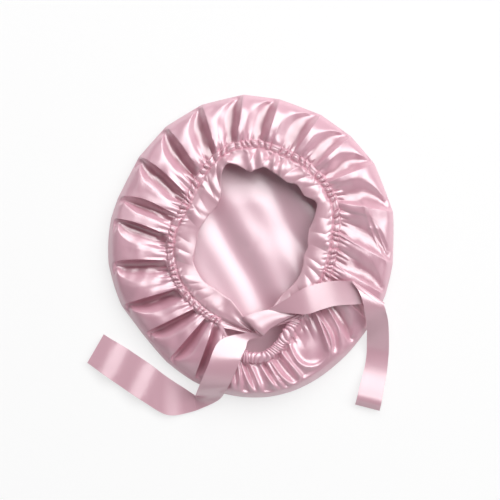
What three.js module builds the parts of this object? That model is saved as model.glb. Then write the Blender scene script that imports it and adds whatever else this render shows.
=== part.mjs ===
import * as THREE from 'three';

// Driving dimensions, in millimetres
const crownWidth = 318; // crown lying flat, side to side
const crownLength = 338; // the same, brow to nape
const shellCloth = 0.8; // one layer of the outer satin
const liningCloth = 0.6;
const layerGap = 0.3; // air between layers that lie on one another
const edgeHeight = 8; // where the rolled edge is widest
const edgeTuck = 10; // how far the roll reaches in under the edge
const pleatHeight = 15; // floor of a pleat, halfway up the side
const lobeHeight = 31; // top of the puffed cloth between two pleats
const seamHeight = 24; // gathered edge round the mouth
const seamPuff = 1.2; // what the gathers still rise there
const seamMargin = 7; // flat allowance along the gathered edge
const mouthRadius = 91;
const browReach = 24; // how much longer the mouth is towards the brow
const napeReach = 40; // how far the mouth bulges behind the knot
const bandWidth = 29; // from the gathered edge to the band's free edge
const bandLap = 3.5; // how far the band lies out over the gathered edge
const bandCloth = 1; // doubled satin of band and ties
const bandArch = 3; // rise of the band between its edges
const bandRipple = 3; // waves of its free edge at the brow
const frontElasticWidth = 5;
const frontElasticThickness = 0.9;
const casingWidth = 11; // ruched nape tube
const casingHeight = 7;
const casingRib = 0.12; // how much a gather stands out, as a share of the tube
const napeElasticWidth = 6.4;
const napeElasticThickness = 1.2;
const threadSize = 0.7;
const bartackLength = 9;
const bartackWidth = 2.5;
const bartackHeight = 1;
const leftTieWidth = 35;
const rightTieWidth = 27; // narrower, because one long edge is folded in
const wrapCloth = 1.6; // two layers of a tie in the knot
const wrapArch = 5;
const foldRise = 3; // between the two layers at the right tie's fold
const tieClearance = 0.5; // between a tie and the cloth it lies on
const tieBreak = 0.4; // between a tie and its tail
const hangSlope = 1.1; // a tie falls no steeper than this
const hemDepth = 6; // stitch row to the end of a tail
const leftTailReach = 47; // end of the left tail, beyond the crown's outline
const rightTailReach = 54.5;

// Angles round the crown, in degrees from its right side towards the brow
const browAngle = 75;
const browSpread = 48;
const napeAngle = 272;
const napeSpread = 20;
const bandFrom = -57;
const bandTo = 246;
const napeFrom = 257;
const napeTo = 297;
const widePleat = 15; // a lobe at least this wide puffs to its full height

// Each pleat: where it starts on the crown's outline and where it ends on the gathered edge
const pleats = [
  [14, 28], [35, 41], [48.5, 52], [63.5, 66.5], [80.5, 83.5], [94, 99], [110, 111], [126, 125],
  [141.5, 141], [157, 155], [170, 172], [186.5, 189], [204, 208], [219, 224.5], [232.5, 235],
  [246, 244], [261, 260], [274.5, 273.5], [289, 286], [305, 300], [328, 326], [346, 354],
];

// Levels that several pieces share
const seamTop = seamHeight + seamPuff;
const bandUnder = seamTop + layerGap;
const bandTop = bandUnder + bandCloth;
const casingTop = seamHeight + (casingHeight / 2) * (1 + casingRib);
const bartackTop = casingTop + layerGap + bartackHeight;
const wrapUnder = bandTop + layerGap;
const wrapTop = wrapUnder + wrapArch + wrapCloth;
const liningDepth = shellCloth + layerGap; // from the shell's outside to the lining
const elasticTop = seamHeight - liningDepth;
const casingInset = (casingWidth / 2) * (1 + casingRib) + layerGap; // gathered edge to the tube's middle

const { degToRad, lerp } = THREE.MathUtils;

// Materials
function satinOf(color, roughness) {
  return new THREE.MeshStandardMaterial({ color, roughness });
}

const shellSatin = satinOf(0xd9a7b5, 0.35);
const liningSatin = satinOf(0xe9c9d5, 0.35);
const bandSatin = satinOf(0xdfb0be, 0.35);
const elasticRubber = satinOf(0xf2ece6, 0.8);
const sewingThread = satinOf(0xc98fa0, 0.6);

// Plan of the bonnet
function hump(angle, middle, spread) {
  const away = ((angle - middle + 900) % 360) - 180;
  return Math.exp(-((away / spread) ** 2));
}

function outlineRadius(angle) {
  const turn = degToRad(angle);
  return 1 / Math.hypot(Math.cos(turn) / (crownWidth / 2), Math.sin(turn) / (crownLength / 2));
}

function bandRadius(angle) {
  return mouthRadius + browReach * hump(angle, browAngle, browSpread);
}

function seamRadius(angle) {
  return bandRadius(angle) + napeReach * hump(angle, napeAngle, napeSpread);
}

function casingRadius(angle) {
  return seamRadius(angle) - casingInset;
}

function onRing(ring, angle, beyond = 0) {
  const turn = degToRad(angle);
  const radius = ring(angle) + beyond;
  return new THREE.Vector2(radius * Math.cos(turn), radius * Math.sin(turn));
}

function raised(plan, height) {
  return new THREE.Vector3(plan.x, plan.y, height);
}

function evenly(from, to, steps) {
  return Array.from({ length: steps + 1 }, (_, i) => lerp(from, to, i / steps));
}

// A closed sheet between two grids of points, column by column. A ring joins its last column to its
// first, and a pole draws the first row of all columns together in one point.
function sheetSolid(name, material, top, under, { ring = false, pole = false } = {}) {
  const columns = top.length;
  const rows = top[0].length;
  const positions = [];
  const corners = [];
  for (const grid of [top, under]) {
    corners.push(grid.map((column, c) => column.map((point, r) => {
      if (pole && r === 0 && c > 0) {
        return corners.length * columns * rows;
      }
      return (corners.length * columns + c) * rows + r;
    })));
    grid.flat().forEach((point) => positions.push(point.x, point.y, point.z));
  }
  const [above, below] = corners;
  const faces = [];
  function face(a, b, c) {
    if (a !== b && b !== c && c !== a) {
      faces.push(a, b, c);
    }
  }
  function quad(a, b, c, d) {
    face(a, b, c);
    face(a, c, d);
  }
  for (let c = 0; c < (ring ? columns : columns - 1); c += 1) {
    const next = (c + 1) % columns;
    for (let r = 0; r + 1 < rows; r += 1) {
      quad(above[c][r], above[next][r], above[next][r + 1], above[c][r + 1]);
      face(below[c][r], below[next][r + 1], below[next][r]);
      face(below[c][r], below[c][r + 1], below[next][r + 1]);
    }
    quad(above[c][rows - 1], above[next][rows - 1], below[next][rows - 1], below[c][rows - 1]);
    if (!pole) {
      quad(above[next][0], above[c][0], below[c][0], below[next][0]);
    }
  }
  if (!ring) {
    const last = columns - 1;
    for (let r = 0; r + 1 < rows; r += 1) {
      quad(above[0][r], above[0][r + 1], below[0][r + 1], below[0][r]);
      quad(above[last][r + 1], above[last][r], below[last][r], below[last][r + 1]);
    }
  }
  return closedMesh(name, material, positions, faces);
}

// A mesh of these faces, turned so that they all look outwards
function closedMesh(name, material, positions, faces) {
  const corner = (i) => new THREE.Vector3().fromArray(positions, 3 * i);
  let volume = 0;
  for (let i = 0; i < faces.length; i += 3) {
    volume += corner(faces[i]).dot(corner(faces[i + 1]).cross(corner(faces[i + 2])));
  }
  const geometry = new THREE.BufferGeometry();
  geometry.setAttribute('position', new THREE.Float32BufferAttribute(positions, 3));
  geometry.setIndex(volume > 0 ? faces : faces.slice().reverse());
  geometry.computeVertexNormals();
  const mesh = new THREE.Mesh(geometry, material);
  mesh.name = name;
  return mesh;
}

function lowered(grid, depth) {
  return grid.map((column) => column.map((point) => new THREE.Vector3(point.x, point.y, point.z - depth)));
}

// Columns of a lobe: the way from its pleat to the next, and how far it puffs there. The outer satin
// swells slowly and drops steeply into the next pleat, and the lining lies smooth.
const shellLobe = [[0, 0], [0.26, 0.62], [0.54, 0.96], [0.8, 1]];
const liningLobe = [[0, 0], [0.5, 0]];

// Gathered side of the crown. A column runs from the outline to the gathered edge, and its puff is 0
// on the floor of a pleat and 1 on top of a wide lobe.
function pleatColumns(lobe) {
  return pleats.flatMap(([start, end], i) => {
    const turned = i + 1 === pleats.length ? 360 : 0;
    const [nextStart, nextEnd] = pleats[(i + 1) % pleats.length];
    const corner = onRing(outlineRadius, start);
    const nextCorner = onRing(outlineRadius, nextStart);
    const fullness = Math.min(1, (nextStart + turned - start) / widePleat);
    return lobe.map(([share, rise]) => {
      const seamAngle = lerp(end, nextEnd + turned, share);
      return {
        outline: corner.clone().lerp(nextCorner, share),
        margin: onRing(seamRadius, seamAngle, seamMargin),
        seam: onRing(seamRadius, seamAngle),
        puff: fullness * rise,
      };
    });
  });
}

// Rows of the side between the outline and the seam margin: how far up, height in a pleat, on a lobe
const sideRows = [
  { share: 0, pleat: edgeHeight, lobe: edgeHeight },
  { share: 0.15, pleat: lerp(edgeHeight, pleatHeight, 0.6), lobe: lerp(edgeHeight, lobeHeight, 0.55) },
  { share: 0.5, pleat: pleatHeight, lobe: lobeHeight },
  { share: 0.82, pleat: lerp(pleatHeight, seamHeight, 0.55), lobe: lerp(lobeHeight, seamTop, 0.2) },
  { share: 1, pleat: seamHeight, lobe: seamTop },
];

// One face of the crown's cloth, inset from its outside. The lining drops a little more along the
// gathered edge.
function crownFace(columns, inset, seamDrop) {
  return columns.map((column) => {
    const inwards = column.outline.clone().normalize().negate();
    const foot = column.outline.clone().addScaledVector(inwards, edgeTuck + 0.4 * inset);
    const points = [new THREE.Vector3(0, 0, inset), raised(foot, inset)];
    sideRows.forEach((row, i) => {
      const [inPart, downPart] = [[1, -0.2], [0.7, 0.7]][i] ?? [0, 1];
      const plan = column.outline.clone().lerp(column.margin, row.share);
      const drop = row.share === 1 ? seamDrop : 0;
      const height = lerp(row.pleat, row.lobe, column.puff);
      points.push(raised(plan.addScaledVector(inwards, inPart * inset), height - downPart * inset - drop));
    });
    const rim = points[points.length - 1].z;
    points.push(raised(column.seam, rim));
    return points;
  });
}

function crownShell() {
  const columns = pleatColumns(shellLobe);
  const outside = crownFace(columns, 0, 0);
  const inside = crownFace(columns, shellCloth, 0);
  return sheetSolid('crown_shell', shellSatin, outside, inside, { ring: true, pole: true });
}

function crownLining() {
  const columns = pleatColumns(liningLobe);
  const seamDrop = frontElasticThickness + layerGap;
  const outside = crownFace(columns, liningDepth, seamDrop);
  const inside = crownFace(columns, liningDepth + liningCloth, seamDrop);
  return sheetSolid('crown_lining', liningSatin, outside, inside, { ring: true, pole: true });
}

// A flat strip along a ring, between two distances beyond it
function ringStrip(name, material, ring, angles, near, far, top, thickness) {
  const upper = angles.map((angle) => [
    raised(onRing(ring, angle, near), top),
    raised(onRing(ring, angle, far), top),
  ]);
  return sheetSolid(name, material, upper, lowered(upper, thickness));
}

function frontElastic() {
  const angles = evenly(bandFrom, bandTo, 40);
  const near = (seamMargin - frontElasticWidth) / 2;
  return ringStrip('front_elastic', elasticRubber, seamRadius, angles,
    near, near + frontElasticWidth, elasticTop, frontElasticThickness);
}

// Band along the brow, with its waves where the gathered edge bends most
function tieBand() {
  const upper = evenly(bandFrom, bandTo, 72).map((angle) => {
    const wave = bandRipple * hump(angle, browAngle, browSpread) * Math.sin(degToRad(18 * angle));
    return [
      raised(onRing(bandRadius, angle, bandLap), bandTop),
      raised(onRing(bandRadius, angle, -layerGap), bandTop),
      raised(onRing(bandRadius, angle, -bandWidth / 2), bandTop + bandArch),
      raised(onRing(bandRadius, angle, -bandWidth + wave), bandTop + wave / 2),
    ];
  });
  return sheetSolid('tie_band', bandSatin, upper, lowered(upper, bandCloth));
}

// A row of slanted stitches along a ring, drawn as one thread
function stitchRow(name, ring, angles, near, far, under) {
  const upper = angles.map((angle, i) => {
    const middle = onRing(ring, angle, i % 2 ? near : far);
    const across = middle.clone().normalize().multiplyScalar(threadSize / 2);
    return [middle.clone().sub(across), middle.add(across)].map((plan) => raised(plan, under + threadSize));
  });
  return sheetSolid(name, sewingThread, upper, lowered(upper, threadSize));
}

function gatherThread() {
  const angles = evenly(bandFrom + 1, bandTo - 1, 120);
  return stitchRow('gather_thread', bandRadius, angles, 0.6, bandLap - 0.8, bandTop + layerGap);
}

function napeThread() {
  const angles = evenly(napeFrom, napeTo, 24);
  return stitchRow('nape_thread', seamRadius, angles, 1, 3, seamTop + layerGap);
}

// Ruched tube along the nape, open at both ends
function napeCasing() {
  const ribs = 20;
  const angles = evenly(napeFrom, napeTo, 2 * ribs);
  const sides = Array.from({ length: 8 }, (_, i) => degToRad(45 * i + 22.5));
  const wall = (width, height, rib) => sides.map((side) => angles.map((angle, i) => {
    const swell = 1 + (i % 2 ? rib : 0);
    const plan = onRing(casingRadius, angle, Math.cos(side) * (width / 2) * swell);
    return raised(plan, seamHeight + Math.sin(side) * (height / 2) * swell);
  }));
  const bore = wall(napeElasticWidth + 3, napeElasticThickness + 2, 0);
  return sheetSolid('nape_casing', shellSatin, wall(casingWidth, casingHeight, casingRib), bore, { ring: true });
}

function napeElastic() {
  const angles = evenly(napeFrom - 1, napeTo + 1, 20);
  const half = napeElasticWidth / 2;
  const top = seamHeight + napeElasticThickness / 2;
  return ringStrip('nape_elastic', elasticRubber, casingRadius, angles, -half, half, top, napeElasticThickness);
}

function bartack(name, angle) {
  const geometry = new THREE.BoxGeometry(bartackLength, bartackWidth, bartackHeight);
  geometry.rotateZ(degToRad(angle));
  const middle = onRing(casingRadius, angle);
  geometry.translate(middle.x, middle.y, bartackTop - bartackHeight / 2);
  const mesh = new THREE.Mesh(geometry, sewingThread);
  mesh.name = name;
  return mesh;
}

// Ties. A station is a line across a tie: its middle beyond a ring at an angle, the way it points
// and how long it is.
function station(ring, angle, beyond, across, width, least = 0) {
  const turn = degToRad(across);
  const half = new THREE.Vector2(Math.cos(turn), Math.sin(turn)).multiplyScalar(width / 2);
  const middle = onRing(ring, angle, beyond);
  return { left: middle.clone().sub(half), right: middle.clone().add(half), least };
}

function between(a, b, share) {
  return {
    left: a.left.clone().lerp(b.left, share),
    right: a.right.clone().lerp(b.right, share),
    least: lerp(a.least, b.least, share),
  };
}

function refined(stations, steps) {
  const inner = stations.slice(1).flatMap((next, i) => evenly(0, 1, steps).slice(0, -1)
    .map((share) => (share === 0 ? stations[i] : between(stations[i], next, share))));
  return [...inner, stations[stations.length - 1]];
}

// Height of the highest cloth at a point of the plan
function clothTop(plan) {
  const angle = (THREE.MathUtils.radToDeg(plan.angle()) + 360) % 360;
  const radius = plan.length();
  const outer = outlineRadius(angle);
  const inner = seamRadius(angle) + seamMargin;
  if (radius >= outer) {
    return 0;
  }
  if (radius <= inner) {
    const behindKnot = angle > napeFrom - 4 && angle < napeTo - 4;
    return behindKnot ? bartackTop : bandTop + bandArch;
  }
  const share = (outer - radius) / (outer - inner);
  const above = sideRows.findIndex((row) => row.share >= share);
  const [low, high] = [sideRows[Math.max(0, above - 1)], sideRows[above]];
  return lerp(low.lobe, high.lobe, (share - low.share) / Math.max(high.share - low.share, 1e-6));
}

// Underside of a tie at each station: clear of the cloth below, and no steeper than it would hang
function drape(stations) {
  const rests = stations.map((line) => {
    const tops = evenly(0, 1, 6).map((share) => clothTop(line.left.clone().lerp(line.right, share)));
    const top = Math.max(...tops);
    return Math.max(line.least, top > 0 ? top + tieClearance : 0);
  });
  const middles = stations.map((line) => line.left.clone().lerp(line.right, 0.5));
  return middles.map((here) => Math.max(
    ...rests.map((rest, i) => rest - hangSlope * here.distanceTo(middles[i])),
  ));
}

function edges(line, height) {
  return [raised(line.left, height), raised(line.right, height)];
}

function tieSolid(name, stations, heights) {
  const under = stations.map((line, i) => edges(line, heights[i]));
  return sheetSolid(name, bandSatin, lowered(under, -bandCloth), under);
}

// Left tie: down over the nape, a pinched turn on the table, then its tail
const leftLift = station(bandRadius, 261.3, 0.32 * napeReach, 5, 0.7 * leftTieWidth);
const leftTurn = station(outlineRadius, 243, 0.575 * leftTailReach, -124, leftTieWidth);
const leftEnd = station(outlineRadius, 213, leftTailReach, -117, leftTieWidth);

function leftTie() {
  const lines = refined([
    leftLift,
    station(bandRadius, 257, 0.59 * napeReach, 4, 0.96 * leftTieWidth),
    station(outlineRadius, 256, -0.74 * leftTieWidth, -3, leftTieWidth),
    station(outlineRadius, 254.6, -0.115 * leftTieWidth, 4, leftTieWidth),
    station(outlineRadius, 254, 0.115 * leftTieWidth, 5, leftTieWidth),
    station(outlineRadius, 250.4, 0.247 * leftTailReach, -27, 0.5 * leftTieWidth),
    leftTurn,
  ], 3);
  const heights = drape(lines);
  return tieSolid('left_tie', lines, heights);
}

function leftTail() {
  const length = leftTurn.left.distanceTo(leftEnd.left);
  const start = between(leftTurn, leftEnd, tieBreak / length);
  const lines = refined([start, leftEnd], 6);
  return tieSolid('left_tail', lines, lines.map(() => 0));
}

// Right tie: out over the gathered side, a diagonal fold, then down over the rim to its tail
const rightLift = station(bandRadius, 293, -0.4 * bandWidth, -45, 0.8 * rightTieWidth, wrapTop + layerGap);
const rightCrease = station(outlineRadius, 338.3, -0.91 * rightTieWidth, -37, 1.62 * rightTieWidth);
const rightRim = station(outlineRadius, 330.6, -0.17 * rightTieWidth, 0, 0.95 * rightTieWidth);

function rightTailLines() {
  return refined([
    rightRim,
    station(outlineRadius, 324.7, 0.147 * rightTailReach, 0, 0.95 * rightTieWidth),
    station(outlineRadius, 319.5, 0.367 * rightTailReach, 5, 0.96 * rightTieWidth),
    station(outlineRadius, 313.3, 0.624 * rightTailReach, -7, rightTieWidth),
    station(outlineRadius, 305.8, rightTailReach, -19, rightTieWidth),
  ], 3);
}

function rightTie() {
  const lower = refined([
    rightLift,
    station(bandRadius, 314, -0.2 * bandWidth, -58, 0.93 * rightTieWidth, bandTop),
    station(bandRadius, 328, 0.3 * rightTieWidth, -57, rightTieWidth),
    rightCrease,
  ], 3);
  const upper = refined([rightCrease, rightRim], 3);
  const lowerHeights = drape(lower);
  const creaseHeight = lowerHeights[lowerHeights.length - 1];
  const rimHeight = drape(rightTailLines())[0];
  const upperHeights = upper.map((_, i) => lerp(creaseHeight + foldRise, rimHeight, i / (upper.length - 1)));
  const lowerOut = lower.map((line, i) => edges(line, lowerHeights[i]));
  const upperIn = upper.map((line, i) => edges(line, upperHeights[i]));
  const foldIn = edges(rightCrease, creaseHeight + (foldRise + bandCloth) / 2);
  const along = rightCrease.right.clone().sub(rightCrease.left).normalize();
  const outwards = new THREE.Vector3(-along.y, along.x, 0).multiplyScalar(bandCloth);
  const foldOut = foldIn.map((point) => point.clone().add(outwards));
  return sheetSolid('right_tie', bandSatin,
    [...lowered(lowerOut, -bandCloth), foldIn, ...upperIn],
    [...lowerOut, foldOut, ...lowered(upperIn, -bandCloth)]);
}

function rightTail() {
  const lines = rightTailLines();
  const heights = drape(lines);
  const length = lines[0].left.distanceTo(lines[1].left);
  const start = between(lines[0], lines[1], tieBreak / length);
  return tieSolid('right_tail', [start, ...lines.slice(1)], [heights[0], ...heights.slice(1)]);
}

// Hem stitches across a tail, on top of its cloth
function hemThread(name, from, end) {
  const length = from.left.distanceTo(end.left);
  const edges = [hemDepth + threadSize, hemDepth].map((depth) => between(from, end, 1 - depth / length));
  const upper = evenly(0.06, 0.94, 6).map((share) => edges.map((line) => (
    raised(line.left.clone().lerp(line.right, share), bandCloth + layerGap + threadSize)
  )));
  return sheetSolid(name, sewingThread, upper, lowered(upper, threadSize));
}

// Knot: both ends of the band drawn together, and the turn of tie over them
function bandEnd(name, stations) {
  const lines = refined(stations, 2);
  return tieSolid(name, lines, lines.map(() => bandUnder));
}

function leftBandEnd() {
  return bandEnd('left_band_end', [
    station(bandRadius, bandTo + 0.4, -0.43 * bandWidth, bandTo, bandWidth),
    station(bandRadius, 256, -0.17 * bandWidth, 256, 0.7 * bandWidth),
    station(bandRadius, 263, -0.02 * bandWidth, 263, 0.45 * bandWidth),
    station(bandRadius, 268.5, 0.1 * bandWidth, 268.5, 0.25 * bandWidth),
  ]);
}

function rightBandEnd() {
  return bandEnd('right_band_end', [
    station(bandRadius, bandFrom - 0.4, -0.45 * bandWidth, bandFrom, bandWidth),
    station(bandRadius, 295, -0.45 * bandWidth, 295, 0.6 * bandWidth),
    station(bandRadius, 287, -0.345 * bandWidth, 287, 0.3 * bandWidth),
  ]);
}

function knotWrap() {
  const lines = refined([
    station(bandRadius, 270, -0.17 * bandWidth, -48, 0.95 * leftTieWidth),
    station(bandRadius, 280.7, -0.345 * bandWidth, -48, 0.8 * leftTieWidth),
    station(bandRadius, 291, -0.41 * bandWidth, -43, 0.55 * leftTieWidth),
    station(bandRadius, 298, -0.345 * bandWidth, -36, 0.28 * leftTieWidth),
  ], 3);
  const under = lines.map((line, i) => evenly(0, 1, 4).map((share) => {
    const arch = wrapArch * Math.sin(Math.PI * share) * (1 - i / lines.length);
    return raised(line.left.clone().lerp(line.right, share), wrapUnder + arch);
  }));
  return sheetSolid('knot_wrap', bandSatin, lowered(under, -wrapCloth), under);
}

const bonnet = new THREE.Group();
bonnet.name = 'silk_bonnet';
const rightLines = rightTailLines();
bonnet.add(
  crownShell(),
  crownLining(),
  tieBand(),
  frontElastic(),
  gatherThread(),
  napeCasing(),
  napeElastic(),
  napeThread(),
  bartack('left_bartack', napeFrom + 1.5),
  bartack('right_bartack', napeTo - 1.5),
  leftBandEnd(),
  rightBandEnd(),
  knotWrap(),
  leftTie(),
  leftTail(),
  hemThread('left_hem_thread', leftTurn, leftEnd),
  rightTie(),
  rightTail(),
  hemThread('right_hem_thread', rightLines[rightLines.length - 4], rightLines[rightLines.length - 1]),
);

export default bonnet;
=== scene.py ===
import math
from types import SimpleNamespace

import bpy
import numpy as np
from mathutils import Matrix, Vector


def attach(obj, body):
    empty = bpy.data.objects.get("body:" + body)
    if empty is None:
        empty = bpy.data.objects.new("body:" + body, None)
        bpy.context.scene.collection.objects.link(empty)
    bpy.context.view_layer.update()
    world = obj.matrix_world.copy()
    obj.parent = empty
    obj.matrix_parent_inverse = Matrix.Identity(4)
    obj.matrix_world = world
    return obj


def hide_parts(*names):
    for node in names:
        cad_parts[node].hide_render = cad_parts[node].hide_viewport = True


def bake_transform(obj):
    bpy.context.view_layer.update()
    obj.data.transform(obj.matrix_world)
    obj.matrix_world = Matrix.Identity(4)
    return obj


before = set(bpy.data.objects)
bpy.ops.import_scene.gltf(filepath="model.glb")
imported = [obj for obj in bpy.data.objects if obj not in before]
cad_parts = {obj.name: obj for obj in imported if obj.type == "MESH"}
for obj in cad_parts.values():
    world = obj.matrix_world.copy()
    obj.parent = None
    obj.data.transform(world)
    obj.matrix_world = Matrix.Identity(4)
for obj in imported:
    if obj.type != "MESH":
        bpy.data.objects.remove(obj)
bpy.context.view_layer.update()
scene = bpy.context.scene
scene.view_settings.view_transform = "Standard"
print("frame loaded:", len(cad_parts), "nodes")


# shader nodes

class Wire:
    def __init__(self, finish, socket):
        self.finish = finish
        self.socket = socket

    def math(self, operation, first, second):
        return self.finish.node("ShaderNodeMath", {"operation": operation}, {0: first, 1: second})

    def __add__(self, other):
        return self.math("ADD", self, other)

    def __radd__(self, other):
        return self.math("ADD", other, self)

    def __sub__(self, other):
        return self.math("SUBTRACT", self, other)

    def __rsub__(self, other):
        return self.math("SUBTRACT", other, self)

    def __mul__(self, other):
        return self.math("MULTIPLY", self, other)

    def __rmul__(self, other):
        return self.math("MULTIPLY", other, self)


class Finish:
    def __init__(self, name, owner=None):
        self.owner = owner or bpy.data.materials.new(name)  # a material, or the world
        self.owner.use_nodes = True
        self.tree = self.owner.node_tree
        self.tree.nodes.clear()

    # settings are set first, then sockets by name or number
    def node(self, kind, settings=None, sockets=None, output=0):
        made = self.tree.nodes.new(kind)
        for name, value in (settings or {}).items():
            setattr(made, name, value)
        for name, value in (sockets or {}).items():
            if isinstance(value, Wire):
                self.tree.links.new(value.socket, made.inputs[name])
            else:
                made.inputs[name].default_value = value
        return Wire(self, made.outputs[output]) if made.outputs else None

    # from one colour to the other, by a share of 0 to 1
    def between(self, share, first, second):
        return self.node("ShaderNodeMix", {"data_type": "RGBA", "clamp_factor": True},
                         {0: share, 6: first, 7: second}, 2)

    # a bump, as strong and deep as the finish's own values say
    def raised(self, look, height):
        return self.node("ShaderNodeBump", None,
                         {"Strength": look["bump"], "Distance": look["bumpDepth"], "Height": height})

    def surface(self, shader, output="ShaderNodeOutputMaterial"):
        self.node(output, None, {"Surface": shader})
        return self


# from the 0 to 255 values of a colour chart, for colours that aren't near black
def linear(red, green, blue):
    return tuple(((value / 255 + 0.055) / 1.055) ** 2.4 for value in (red, green, blue)) + (1,)


satin = {
    "floatLength": 0.0036,  # how far a thread runs on top before it dips
    "threadWidth": 0.00028,
    "bump": 0.35,
    "bumpDepth": 0.00005,
    "patch": 0.06,  # size of the slow changes of tone
    "deepShare": 0.35,  # of the deeper tone, and how much patches and threads change it
    "patchTone": 0.5,
    "floatTone": 0.35,
    "index": 2.0,  # gives silk its strong pale shine
    "roughness": 0.33,
    "liningRoughness": 0.39,
    "patchGloss": 0.05,
    "floatGloss": 0.12,
}


# glossy satin: long floats across the cloth, a slow change of tone, and painted shade: a deeper rose colour
# mixed in where the hollow attribute marks fold hollows
def satinFinish(name, light, deep, roughness=satin["roughness"], fold=None):
    finish = Finish(name)
    cloth = finish.node("ShaderNodeUVMap", {"uv_map": "cloth"})
    stretched = finish.node("ShaderNodeVectorMath", {"operation": "MULTIPLY"},
                            {0: cloth, 1: (1 / satin["floatLength"], 1 / satin["threadWidth"], 1)})
    floats = finish.node("ShaderNodeTexNoise", {"noise_dimensions": "2D"},
                         {"Vector": stretched, "Scale": 1.0, "Detail": 1.0, "Roughness": 0.4})
    tone = finish.node("ShaderNodeTexNoise", {"noise_dimensions": "2D"},
                       {"Vector": cloth, "Scale": 1 / satin["patch"], "Detail": 2.0, "Roughness": 0.5})
    deeper = satin["deepShare"] + (tone - 0.5) * satin["patchTone"] + (floats - 0.5) * satin["floatTone"]
    colour = finish.between(deeper, light, deep)
    # painted shade: the fold colour stands for shade in the fold hollows, mixed in by the painted shade
    # mask in the hollow attribute
    if fold:
        hollow = finish.node("ShaderNodeAttribute", {"attribute_name": "hollow"}, None, 2)
        colour = finish.between(hollow, colour, fold)
    gloss = roughness + (floats - 0.5) * satin["floatGloss"] + (tone - 0.5) * satin["patchGloss"]
    return finish.surface(finish.node("ShaderNodeBsdfPrincipled", None, {
        "Base Color": colour, "Roughness": gloss, "Normal": finish.raised(satin, floats),
        "IOR": satin["index"], "Specular IOR Level": 1.0}))


twine = {"twists": 2600, "bump": 0.4, "bumpDepth": 0.0001, "roughness": 0.5, "twistGloss": 0.2, "fuzz": 0.2}


def threadFinish(name, light, deep):
    finish = Finish(name)
    place = finish.node("ShaderNodeTexCoord", None, None, 3)
    twist = finish.node("ShaderNodeTexNoise", None,
                        {"Vector": place, "Scale": twine["twists"], "Detail": 1.0})
    gloss = twine["roughness"] + (twist - 0.5) * twine["twistGloss"]
    return finish.surface(finish.node("ShaderNodeBsdfPrincipled", None, {
        "Base Color": finish.between(twist, light, deep), "Roughness": gloss,
        "Normal": finish.raised(twine, twist), "Sheen Weight": twine["fuzz"]}))


webbing = {"ribs": 260, "waver": 0.6, "bump": 0.5, "bumpDepth": 0.0002, "roughness": 0.75, "ribGloss": 0.1}


def elasticFinish(name, light, deep):
    finish = Finish(name)
    cloth = finish.node("ShaderNodeUVMap", {"uv_map": "cloth"})
    ribs = finish.node("ShaderNodeTexWave", {"bands_direction": "Y"}, {
        "Vector": cloth, "Scale": webbing["ribs"], "Distortion": webbing["waver"], "Detail": 1.0})
    gloss = webbing["roughness"] - ribs * webbing["ribGloss"]
    return finish.surface(finish.node("ShaderNodeBsdfPrincipled", None, {
        "Base Color": finish.between(ribs, deep, light), "Roughness": gloss,
        "Normal": finish.raised(webbing, ribs)}))


# the third colour of the shell is painted shade for its fold hollows
shellSatin = satinFinish("shell_satin", linear(223, 170, 187), linear(211, 156, 173),
                         fold=linear(158, 86, 106))
liningSatin = satinFinish("lining_satin", linear(236, 193, 207), linear(226, 180, 195),
                          satin["liningRoughness"])
bandSatin = satinFinish("band_satin", linear(225, 175, 190), linear(213, 161, 176))
sewingThread = threadFinish("thread", linear(196, 140, 156), linear(160, 100, 118))
wovenElastic = elasticFinish("elastic", linear(240, 230, 226), linear(205, 190, 188))
print("finishes made")


# shapes, all worked out in millimetres and degrees

def wrapped(angle):
    return (angle + 180) % 360 - 180


def hump(angle, middle, spread):
    return np.exp(-(wrapped(angle - middle) / spread) ** 2)


def ease(start, end, x):
    t = np.clip((x - start) / (end - start), 0, 1)
    return t * t * (3 - 2 * t)


def turned(angle, radius):
    turn = np.radians(angle)
    return np.stack([radius * np.cos(turn), radius * np.sin(turn)], -1)


# plan points with their heights
def atHeight(plan, z):
    return np.concatenate([plan, np.broadcast_to(z, plan.shape[:-1])[..., None]], -1)


# a smooth closed line through rows of (degrees, value)
def closedLine(rows, blur):
    angles, values = zip(*sorted((angle % 360, value) for angle, value in rows))
    steps = np.arange(0, 360, 0.5)
    fine = np.interp(steps, angles, values, period=360)
    kernel = np.exp(-(wrapped(steps) / blur) ** 2)
    smooth = np.real(np.fft.ifft(np.fft.fft(fine) * np.fft.fft(kernel / kernel.sum())))
    return lambda angle: np.interp(angle % 360, np.append(steps, 360), np.append(smooth, smooth[0]))


# natural cubic spline
def spline(knots, values, at):
    knots = np.asarray(knots, float)
    values = np.asarray(values, float)
    at = np.asarray(at, float)
    count = len(knots)
    gaps = np.diff(knots)
    column = (-1,) + (1,) * (values.ndim - 1)
    slopes = np.diff(values, axis=0) / gaps.reshape(column)
    matrix = np.eye(count)
    right = np.zeros_like(values)
    for i in range(1, count - 1):
        matrix[i, i - 1:i + 2] = gaps[i - 1], 2 * (gaps[i - 1] + gaps[i]), gaps[i]
        right[i] = 6 * (slopes[i] - slopes[i - 1])
    bend = np.linalg.solve(matrix, right)
    i = np.clip(np.searchsorted(knots, at, side="right") - 1, 0, count - 2)
    gap = gaps[i].reshape(at.shape + (1,) * (values.ndim - 1))
    on = (at - knots[i]).reshape(gap.shape)
    left = gap - on
    curved = (bend[i] * left ** 3 + bend[i + 1] * on ** 3) / (6 * gap)
    before = (values[i] / gap - bend[i] * gap / 6) * left
    after = (values[i + 1] / gap - bend[i + 1] * gap / 6) * on
    return curved + before + after


# the same through rows of (place, value)
def through(rows, at):
    return spline(*zip(*rows), at)


# smooth unevenness of about -1 to 1, the same on every run
def uneven(plan, wave, seed):
    rng = np.random.default_rng(seed)
    total = 0
    for _ in range(10):
        turn, phase = rng.uniform(0, 2 * math.pi, 2)
        pace = 2 * math.pi / (wave * rng.uniform(0.7, 1.6))
        along = plan[..., 0] * math.cos(turn) + plan[..., 1] * math.sin(turn)
        total = total + np.sin(along * pace + phase)
    return total / 4


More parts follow.
